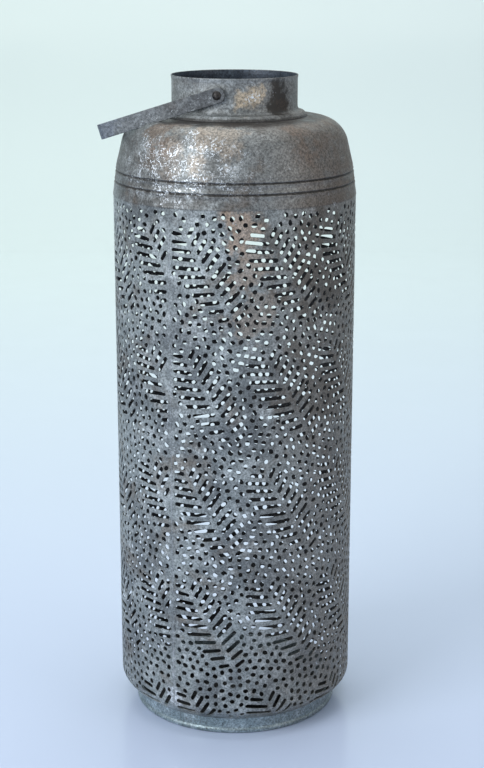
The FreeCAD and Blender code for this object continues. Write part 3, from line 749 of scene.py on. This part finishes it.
def make_strap(material):
    corner = math.acos(STRAP_HALF_WIDTH / EYE_RADIUS)
    arc = [math.pi / 2 + corner + (math.pi - 2 * corner) * i / 26 for i in range(27)]
    left = [(EYE_RADIUS * math.cos(a), EYE_RADIUS * math.sin(a)) for a in arc]
    runs = sorted(set(
        [round(i * 6.0, 3) for i in range(1, int(STRAP_RUN / 6.0))]
        + [ARM_RUN + BEND_RUN * i / 10 for i in range(11)]
        + [STRAP_RUN - ARM_RUN - BEND_RUN * i / 10 for i in range(11)]))
    outline = [(run, STRAP_HALF_WIDTH) for run in reversed(runs)]
    outline += left
    outline += [(run, -STRAP_HALF_WIDTH) for run in runs]
    outline += [(STRAP_RUN - x, y) for x, y in reversed(left)]
    holes = []
    for middle in (0.0, STRAP_RUN):
        holes.append([(middle + EYE_HOLE * math.cos(2 * math.pi * i / 28),
                       EYE_HOLE * math.sin(2 * math.pi * i / 28)) for i in range(28)])
    points = []
    edges = []
    for loop in [outline] + holes:
        start = len(points)
        points += loop
        edges += [(start + i, start + (i + 1) % len(loop)) for i in range(len(loop))]
    inner = (-4.5, -2.25, 0.0, 2.25, 4.5)
    for run in runs:
        start = len(points)
        points += [(run, across) for across in inner
                   if math.hypot(run, across) > 4.0
                   and math.hypot(run - STRAP_RUN, across) > 4.0]
    made, _, triangles, _, _, _ = delaunay_2d_cdt(
        [Vector(point) for point in points], edges, [], 0, 1e-4, True)
    kept = []
    for face in triangles:
        x = sum(made[i].x for i in face) / 3
        y = sum(made[i].y for i in face) / 3
        if inside(outline, x, y) and not any(inside(hole, x, y) for hole in holes):
            kept.append(face)
    count = len(made)
    verts = []
    for side in (1, -1):
        for point in made:
            wobble = 0.18 * noise.noise(Vector((point.x / 35.0, point.y / 20.0, 3.0)))
            near_eye = min(1.0, min(abs(point.x), abs(STRAP_RUN - point.x)) / 25.0)
            verts.append(strap_place(point.x, point.y,
                                     side * STRAP_HALF_THICK + wobble * near_eye))
    faces = []
    used = {}
    for a, b, c in kept:
        turn = ((made[b].x - made[a].x) * (made[c].y - made[a].y)
                - (made[c].x - made[a].x) * (made[b].y - made[a].y))
        if turn < 0:
            b, c = c, b
        faces.append((a, c, b))
        faces.append((a + count, b + count, c + count))
        for edge in ((a, b), (b, c), (c, a)):
            used[edge] = True
    for first, second in used:
        if (second, first) not in used:
            faces.append((first, second, second + count, first + count))
    piece = add_mesh("strap_bail", verts, faces, "bail", smooth_angle=40.0)
    soft = piece.modifiers.new("edge_round", "BEVEL")
    soft.width = 0.45 * MM
    soft.segments = 2
    soft.limit_method = "ANGLE"
    soft.angle_limit = math.radians(55)
    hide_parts("bail_handle")
    piece.data.materials.append(material)
    return piece


# ---------------------------------------------------------------------------
# Materials
# ---------------------------------------------------------------------------
class Recipe:
    """A node material put together step by step, in the piece's own space."""

    def __init__(self, name):
        self.material = bpy.data.materials.new(name)
        self.material.use_nodes = True
        self.tree = self.material.node_tree
        self.tree.nodes.clear()
        self.place = self.add("ShaderNodeTexCoord").outputs["Object"]

    def add(self, kind, inputs=None, **settings):
        node = self.tree.nodes.new(kind)
        for name, value in settings.items():
            setattr(node, name, value)
        for socket, value in (inputs or {}).items():
            if isinstance(value, bpy.types.NodeSocket):
                self.tree.links.new(value, node.inputs[socket])
            else:
                node.inputs[socket].default_value = value
        return node

    def noise(self, scale, detail=4.0, roughness=0.6, stretch=(1, 1, 1), shift=0.0,
              distortion=0.0):
        """Cloudy values about 0.5; scale is in waves per metre."""
        moved = self.add("ShaderNodeMapping", {
            "Vector": self.place, "Scale": stretch,
            "Location": (shift, shift * 0.7, shift * 1.3)})
        return self.add("ShaderNodeTexNoise", {
            "Vector": moved.outputs["Vector"], "Scale": scale, "Detail": detail,
            "Roughness": roughness, "Distortion": distortion}).outputs["Fac"]

    def between(self, value, low, high, start=0.0, end=1.0):
        """Smooth step from start to end as the value goes from low to high."""
        return self.add("ShaderNodeMapRange", {
            "Value": value, "From Min": low, "From Max": high,
            "To Min": start, "To Max": end},
            interpolation_type="SMOOTHSTEP", clamp=True).outputs["Result"]

    def combine(self, operation, first, second):
        node = self.add("ShaderNodeMath", operation=operation)
        for index, value in enumerate((first, second)):
            if isinstance(value, bpy.types.NodeSocket):
                self.tree.links.new(value, node.inputs[index])
            else:
                node.inputs[index].default_value = value
        return node.outputs[0]

    def mix(self, factor, first, second, blend="MIX"):
        node = self.add("ShaderNodeMix", data_type="RGBA", blend_type=blend)
        for socket, value in ((node.inputs[0], factor), (node.inputs[6], first),
                              (node.inputs[7], second)):
            if isinstance(value, bpy.types.NodeSocket):
                self.tree.links.new(value, socket)
            elif isinstance(value, tuple):
                socket.default_value = (*value, 1.0)
            else:
                socket.default_value = value
        return node.outputs[2]

    def along(self, direction):
        """Metres of the surface point along a direction."""
        return self.add("ShaderNodeVectorMath", {0: self.place, 1: direction},
                        operation="DOT_PRODUCT").outputs["Value"]

    def spot(self, centre, radius, ragged=0.5, shift=0.0):
        """1 near a point, 0 beyond a radius, with a ragged edge (millimetres)."""
        away = self.add("ShaderNodeVectorMath",
                        {0: self.place, 1: tuple(value * MM for value in centre)},
                        operation="DISTANCE").outputs["Value"]
        wander = self.noise(45.0, 5.0, 0.65, shift=shift)
        wander = self.between(wander, 0.3, 0.7, -ragged * radius * MM,
                              ragged * radius * MM)
        return self.between(self.combine("ADD", away, wander),
                            radius * MM, radius * MM * 0.35)

    def finish(self, colour, metallic, roughness, heights):
        """Principled surface with bumps: heights is (value, strength, distance)."""
        normal = None
        for value, strength, distance in heights:
            inputs = {"Height": value, "Strength": strength, "Distance": distance * MM}
            if normal is not None:
                inputs["Normal"] = normal
            normal = self.add("ShaderNodeBump", inputs).outputs["Normal"]
        inputs = {"Base Color": colour, "Metallic": metallic, "Roughness": roughness}
        if normal is not None:
            inputs["Normal"] = normal
        shader = self.add("ShaderNodeBsdfPrincipled", inputs)
        self.add("ShaderNodeOutputMaterial", {"Surface": shader.outputs["BSDF"]})
        return self.material


VIEW_TURN = math.radians(14.6)
VIEW_RIGHT = (math.cos(VIEW_TURN), math.sin(VIEW_TURN), 0.0)


def aged_zinc(name, dark, middle, pale, brown, brown_share=0.5, right_shade=0.5,
              metallic=0.55, rough=0.5, flecks=(), patches=(), fleck_share=0.5,
              streaks=0.0, grain=0.5, lines=()):
    """Old galvanised sheet: clouds of grey, brown patina and pale crackle.

    flecks are (centre, radius) of crackled areas; patches are (centre, radius,
    colour, strength) of tinted areas, among them near-black painted shade;
    lines are (height, half width, strength) of painted shade along a groove or
    under an edge. right_shade is painted shade: the side turned to the right
    is mixed towards the brown.
    """
    make = Recipe(name)
    cloud = make.noise(16.0, 6.0, 0.62, shift=1.7, distortion=0.4)
    mottle = make.noise(75.0, 8.0, 0.72, shift=5.2)
    fine = make.noise(520.0, 6.0, 0.75, shift=8.8)
    colour = make.mix(make.between(cloud, 0.36, 0.60), dark, middle)
    colour = make.mix(make.between(mottle, 0.46, 0.72), colour, pale)
    if streaks:
        runs = make.noise(60.0, 5.0, 0.7, stretch=(1, 1, 0.12), shift=2.4)
        colour = make.mix(make.between(runs, 0.45, 0.75, 0.0, streaks), colour,
                          tuple(value * 0.42 for value in dark))
    stain_and_shade = make.noise(24.0, 7.0, 0.66, shift=12.5, distortion=0.6)
    stain_and_shade = make.between(stain_and_shade, 0.50, 0.70, 0.0, brown_share)
    # Painted shade: the side turned to the right is mixed towards the brown, as shade, on
    # top of the real stains.
    right = make.between(make.along(VIEW_RIGHT), -0.02, 0.10, 0.0, right_shade)
    stain_and_shade = make.combine("MAXIMUM", stain_and_shade, make.combine(
        "MULTIPLY", right, make.between(mottle, 0.30, 0.62, 0.55, 1.0)))
    colour = make.mix(stain_and_shade, colour, brown)
    for number, (centre, radius, tint, strength) in enumerate(patches):
        area = make.spot(centre, radius, 0.6, shift=3.0 + number)
        area = make.combine("MULTIPLY", area, make.between(fine, 0.25, 0.6, 0.65, 1.0))
        colour = make.mix(make.combine("MULTIPLY", area, strength), colour, tint)
    # Painted shade: near-black bands at given heights, in a groove or under an edge.
    for height, half, strength in lines:
        off = make.combine("ABSOLUTE", make.combine(
            "SUBTRACT", make.along((0.0, 0.0, 1.0)), height * MM), 0.0)
        off = make.combine("ADD", off, make.between(mottle, 0.3, 0.7, -0.3 * half * MM,
                                                    0.3 * half * MM))
        colour = make.mix(make.between(off, half * MM, 0.3 * half * MM, 0.0, strength),
                          colour, (0.040, 0.034, 0.030))
    speckle = make.between(fine, 0.34, 0.66, 1.0 - grain, 1.0 + grain)
    speckle = make.add("ShaderNodeCombineColor",
                       {"Red": speckle, "Green": speckle, "Blue": speckle}).outputs[0]
    colour = make.mix(1.0, colour, speckle, blend="MULTIPLY")
    pits = make.noise(210.0, 4.0, 0.7, shift=21.0)
    colour = make.mix(make.between(pits, 0.36, 0.28, 0.0, 0.75), colour,
                      (0.035, 0.032, 0.030))
    roughness = make.between(mottle, 0.3, 0.7, rough - 0.12, rough + 0.14)
    web = make.noise(430.0, 3.0, 0.66, shift=31.0, distortion=1.0)
    clumps = make.noise(70.0, 4.0, 0.6, shift=35.0)
    lifted = make.combine("MULTIPLY", make.between(web, 0.60, 0.66),
                          make.between(clumps, 0.52, 0.62, 0.0, fleck_share))
    for number, (centre, radius) in enumerate(flecks):
        area = make.spot(centre, radius, 0.5, shift=17.0 + number)
        dense = make.combine("MULTIPLY", make.between(web, 0.535, 0.60), area)
        dense = make.combine("MULTIPLY", dense, make.between(clumps, 0.38, 0.54))
        lifted = make.combine("MAXIMUM", lifted, dense)
    colour = make.mix(lifted, colour, (0.80, 0.85, 0.90))
    roughness = make.combine("SUBTRACT", roughness,
                             make.combine("MULTIPLY", lifted, 0.12))
    return make.finish(colour, metallic, roughness, [
        (cloud, 0.35, 1.2), (mottle, 0.45, 0.25), (fine, 0.5, 0.08),
        (lifted, 0.5, 0.10)])


body_material = aged_zinc(
    "pierced_zinc", (0.15, 0.165, 0.17), (0.28, 0.31, 0.31), (0.50, 0.54, 0.55),
    (0.155, 0.125, 0.095), brown_share=0.60, right_shade=0.72, streaks=0.30,
    fleck_share=0.40,
    patches=(((40.6, -102.5, 477.2), 26.0, (0.42, 0.285, 0.19), 0.62),
             ((40.7, -102.6, 442.0), 24.0, (0.36, 0.255, 0.175), 0.52),
             ((44.7, -100.6, 398.0), 30.0, (0.33, 0.24, 0.17), 0.42),
             # Painted shade: these two near-black patches on the right of the body stand
             # in for shade.
             ((92.0, -61.0, 440.0), 60.0, (0.085, 0.068, 0.052), 0.75),
             ((96.0, -55.0, 330.0), 55.0, (0.10, 0.080, 0.060), 0.60),
             ((-29.7, -106.4, 38.0), 9.0, (0.62, 0.66, 0.70), 0.7)))
dome_material = aged_zinc(
    "dome_zinc", (0.12, 0.12, 0.115), (0.21, 0.225, 0.225), (0.33, 0.35, 0.35),
    (0.135, 0.100, 0.074), brown_share=0.65, right_shade=0.88,
    flecks=(((-52.0, -88.0, 532.0), 34.0), ((-8.0, -102.0, 530.0), 36.0),
            ((22.0, -101.0, 526.0), 26.0), ((-34.0, -103.0, 508.0), 26.0)),
    fleck_share=0.22,
    patches=(((-47.7, -82.1, 554.0), 22.0, (0.17, 0.12, 0.085), 0.75),
             ((5.3, -90.0, 555.0), 34.0, (0.36, 0.30, 0.24), 0.6),
             # Painted shade: a dark patch on the dome's right, and near-black painted
             # shadow under the neck's foot.
             ((76.0, -50.0, 553.0), 26.0, (0.14, 0.10, 0.075), 0.65),
             ((20.0, -66.0, 563.0), 16.0, (0.06, 0.045, 0.04), 0.8),
             ((-25.0, -66.0, 563.0), 18.0, (0.05, 0.04, 0.04), 0.8)),
    # Painted shade along the two grooves, and painted shadow under the neck's foot.
    lines=((506.3, 1.3, 0.85), (515.7, 1.3, 0.85), (564.0, 3.4, 0.80)))
neck_material = aged_zinc(
    "neck_zinc", (0.18, 0.19, 0.19), (0.28, 0.295, 0.295), (0.42, 0.45, 0.46),
    (0.125, 0.098, 0.075), brown_share=0.50, right_shade=0.88, metallic=0.5,
    flecks=(((27.1, -50.0, 586.0), 11.0),),
    fleck_share=0.2,
    patches=(((27.1, -50.0, 584.5), 15.0, (0.52, 0.42, 0.30), 0.8),
             # Painted shade: these near-black patches on the neck's right stand in for
             # shade.
             ((49.0, -30.0, 579.0), 19.0, (0.024, 0.018, 0.013), 0.95),
             ((52.0, -24.0, 572.0), 12.0, (0.06, 0.045, 0.035), 0.85)),
    # Painted shadow where the neck's foot meets the dome.
    lines=((564.2, 2.2, 0.8),))
foot_material = aged_zinc(
    "foot_zinc", (0.15, 0.20, 0.22), (0.26, 0.33, 0.36), (0.45, 0.54, 0.60),
    (0.14, 0.13, 0.12), brown_share=0.30, right_shade=0.45, rough=0.42,
    streaks=0.5, fleck_share=0.35)
strap_material = aged_zinc(
    "strap_zinc", (0.085, 0.09, 0.095), (0.145, 0.155, 0.16), (0.25, 0.27, 0.28),
    (0.10, 0.082, 0.070), brown_share=0.45, right_shade=0.0, fleck_share=0.6,
    patches=(((-105.0, -55.0, 552.0), 34.0, (0.13, 0.15, 0.18), 0.7),))
solder_material = aged_zinc(
    "dull_solder", (0.17, 0.185, 0.19), (0.29, 0.31, 0.32), (0.52, 0.56, 0.58),
    (0.17, 0.14, 0.11), brown_share=0.3, right_shade=0.0, rough=0.45, grain=0.35)
# Painted shade: the sheet's inside is coloured near-black, and the neck's inside dark
# blue, to stand in for the shade inside the lantern.
inner_material = aged_zinc(
    "shaded_inner_sheet", (0.030, 0.030, 0.032), (0.055, 0.058, 0.062), (0.10, 0.105, 0.11),
    (0.05, 0.042, 0.034), brown_share=0.5, right_shade=0.2, rough=0.6,
    fleck_share=0.05)
neck_inner_material = aged_zinc(
    "neck_inside", (0.028, 0.036, 0.050), (0.050, 0.064, 0.085), (0.085, 0.105, 0.130),
    (0.040, 0.036, 0.034), brown_share=0.3, right_shade=0.0, rough=0.5,
    fleck_share=0.05)


def dark_iron():
    make = Recipe("dark_iron")
    mottle = make.noise(420.0, 5.0, 0.7, shift=2.0)
    dents = make.noise(160.0, 3.0, 0.5, shift=6.0)
    colour = make.mix(make.between(mottle, 0.35, 0.7), (0.018, 0.017, 0.018),
                      (0.085, 0.075, 0.068))
    roughness = make.between(mottle, 0.3, 0.7, 0.32, 0.55)
    return make.finish(colour, 0.7, roughness, [(dents, 0.6, 0.5), (mottle, 0.5, 0.1)])


iron_material = dark_iron()


# ---------------------------------------------------------------------------
# Pieces
# ---------------------------------------------------------------------------
for panel in shell_panels:
    panel.data.materials.append(body_material)
    panel.data.materials.append(inner_material)

make_dome(dome_material)
neck = make_neck(neck_material)
neck.data.materials.append(neck_inner_material)
for face in neck.data.polygons:
    outward = face.center.x * face.normal.x + face.center.y * face.normal.y
    if outward < 0 and face.center.z < (NECK_TOP - 0.6) * MM:
        face.material_index = 1
make_foot(foot_material)
make_seam(solder_material)
make_strap(strap_material)


def dress(node, material):
    """Gives a node of the frame its material."""
    piece = bpy.data.objects[node]
    piece.data.materials.clear()
    piece.data.materials.append(material)


# Painted shade: the pieces inside the lantern take the near-black inner colour.
for node in ("bottom_disc", "drip_tray", "candle_socket"):
    dress(node, inner_material)
for node in ("hinge_rivets", "hinge_spacers"):
    dress(node, iron_material)


# ---------------------------------------------------------------------------
# Stage: a pale sweep, lavender in front and mint towards the back
# ---------------------------------------------------------------------------
VIEW_BACK = Vector((-math.sin(VIEW_TURN), math.cos(VIEW_TURN), 0.0))
FLOOR_FRONT, FLOOR_BACK = -2.2, 2.4
SWEEP_RADIUS, WALL_TOP = 1.4, 4.0
STAGE_HALF_WIDTH = 4.5


def make_stage():
    profile = [(FLOOR_FRONT + (FLOOR_BACK - FLOOR_FRONT) * i / 12, 0.0) for i in range(13)]
    for i in range(1, 25):
        turn = math.pi / 2 * i / 24
        profile.append((FLOOR_BACK + SWEEP_RADIUS * math.sin(turn),
                        SWEEP_RADIUS * (1 - math.cos(turn))))
    profile.append((FLOOR_BACK + SWEEP_RADIUS, WALL_TOP))
    across = Vector(VIEW_RIGHT)
    verts = []
    for depth, height in profile:
        for side in (-1, 1):
            spot = VIEW_BACK * depth + across * side * STAGE_HALF_WIDTH
            verts.append((spot.x, spot.y, height - 0.0003))
    faces = [(2 * i, 2 * i + 1, 2 * i + 3, 2 * i + 2) for i in range(len(profile) - 1)]
    mesh = bpy.data.meshes.new("sweep")
    mesh.from_pydata(verts, [], faces)
    mesh.shade_smooth()
    stage = bpy.data.objects.new("sweep", mesh)
    bpy.context.scene.collection.objects.link(stage)
    make = Recipe("pale_sweep")
    depth = make.between(make.along(tuple(VIEW_BACK)), -0.5, 2.6)
    colour = make.mix(depth, FLOOR_TINT, WALL_TINT)
    # Painted shade: the right of the sweep is mixed a little darker and bluer.
    side = make.between(make.along(VIEW_RIGHT), -1.2, 1.2, 0.0, 1.0)
    colour = make.mix(side, colour, make.mix(0.12, colour, (0.45, 0.50, 0.70)))
    veil = make.noise(3.0, 3.0, 0.5)
    roughness = make.between(veil, 0.3, 0.7, 0.16, 0.24)
    stage.data.materials.append(make.finish(colour, 0.0, roughness, []))


FLOOR_TINT = (0.54, 0.62, 0.80)
WALL_TINT = (0.84, 0.95, 0.94)
make_stage()


# ---------------------------------------------------------------------------
# Light: one broad soft source on the left, weaker ones right and above
# ---------------------------------------------------------------------------
def add_light(name, right, near, height, size, energy, tint,
              target=Vector((0.0, 0.0, 0.35))):
    """Area light placed as seen from the camera, aimed at a target."""
    data = bpy.data.lights.new(name, "AREA")
    data.shape = "RECTANGLE"
    data.size, data.size_y = size
    data.energy = energy
    data.color = tint
    light = bpy.data.objects.new(name, data)
    light.location = Vector(VIEW_RIGHT) * right - VIEW_BACK * near + Vector((0, 0, height))
    aim = target - light.location
    light.rotation_euler = aim.to_track_quat("-Z", "Y").to_euler()
    bpy.context.scene.collection.objects.link(light)


add_light("key", -1.5, 1.3, 1.3, (1.3, 1.6), 34.0, (0.96, 0.98, 1.0))
add_light("fill", 1.8, 1.2, 0.9, (1.0, 1.4), 7.0, (1.0, 0.97, 0.93))
add_light("top", 0.0, -0.6, 2.6, (2.4, 2.4), 30.0, (0.98, 1.0, 1.0))
add_light("wash", 0.0, -2.6, 2.4, (3.6, 1.2), 16.0, (1.0, 0.97, 0.84),
          VIEW_BACK * 3.6)

world = bpy.data.worlds.new("studio")
world.use_nodes = True
world.node_tree.nodes["Background"].inputs["Color"].default_value = (0.80, 0.88, 0.95, 1.0)
world.node_tree.nodes["Background"].inputs["Strength"].default_value = 0.55
bpy.context.scene.world = world
bpy.context.scene.view_settings.view_transform = "Standard"


# ---------------------------------------------------------------------------
# Camera at the photograph's angle
# ---------------------------------------------------------------------------
IMAGE_HEIGHT = 768
FOCAL_PIXELS = 1649.5
CAMERA_DISTANCE = 1500.6 * MM
CAMERA_HEIGHT = 713.0 * MM
CAMERA_AZIMUTH = math.radians(14.84)
CAMERA_PITCH = math.radians(14.953)
CAMERA_YAW = math.radians(0.255)
SENSOR_WIDTH = 36.0


def make_camera():
    data = bpy.data.cameras.new("camera")
    data.sensor_width = SENSOR_WIDTH
    data.lens = FOCAL_PIXELS * SENSOR_WIDTH / IMAGE_HEIGHT
    data.clip_end = 50.0
    camera = bpy.data.objects.new("camera", data)
    camera.location = (CAMERA_DISTANCE * math.sin(CAMERA_AZIMUTH),
                       -CAMERA_DISTANCE * math.cos(CAMERA_AZIMUTH),
                       CAMERA_HEIGHT)
    camera.rotation_euler = (math.pi / 2 - CAMERA_PITCH, 0.0,
                             CAMERA_AZIMUTH - CAMERA_YAW)
    bpy.context.scene.collection.objects.link(camera)
    bpy.context.scene.camera = camera


make_camera()
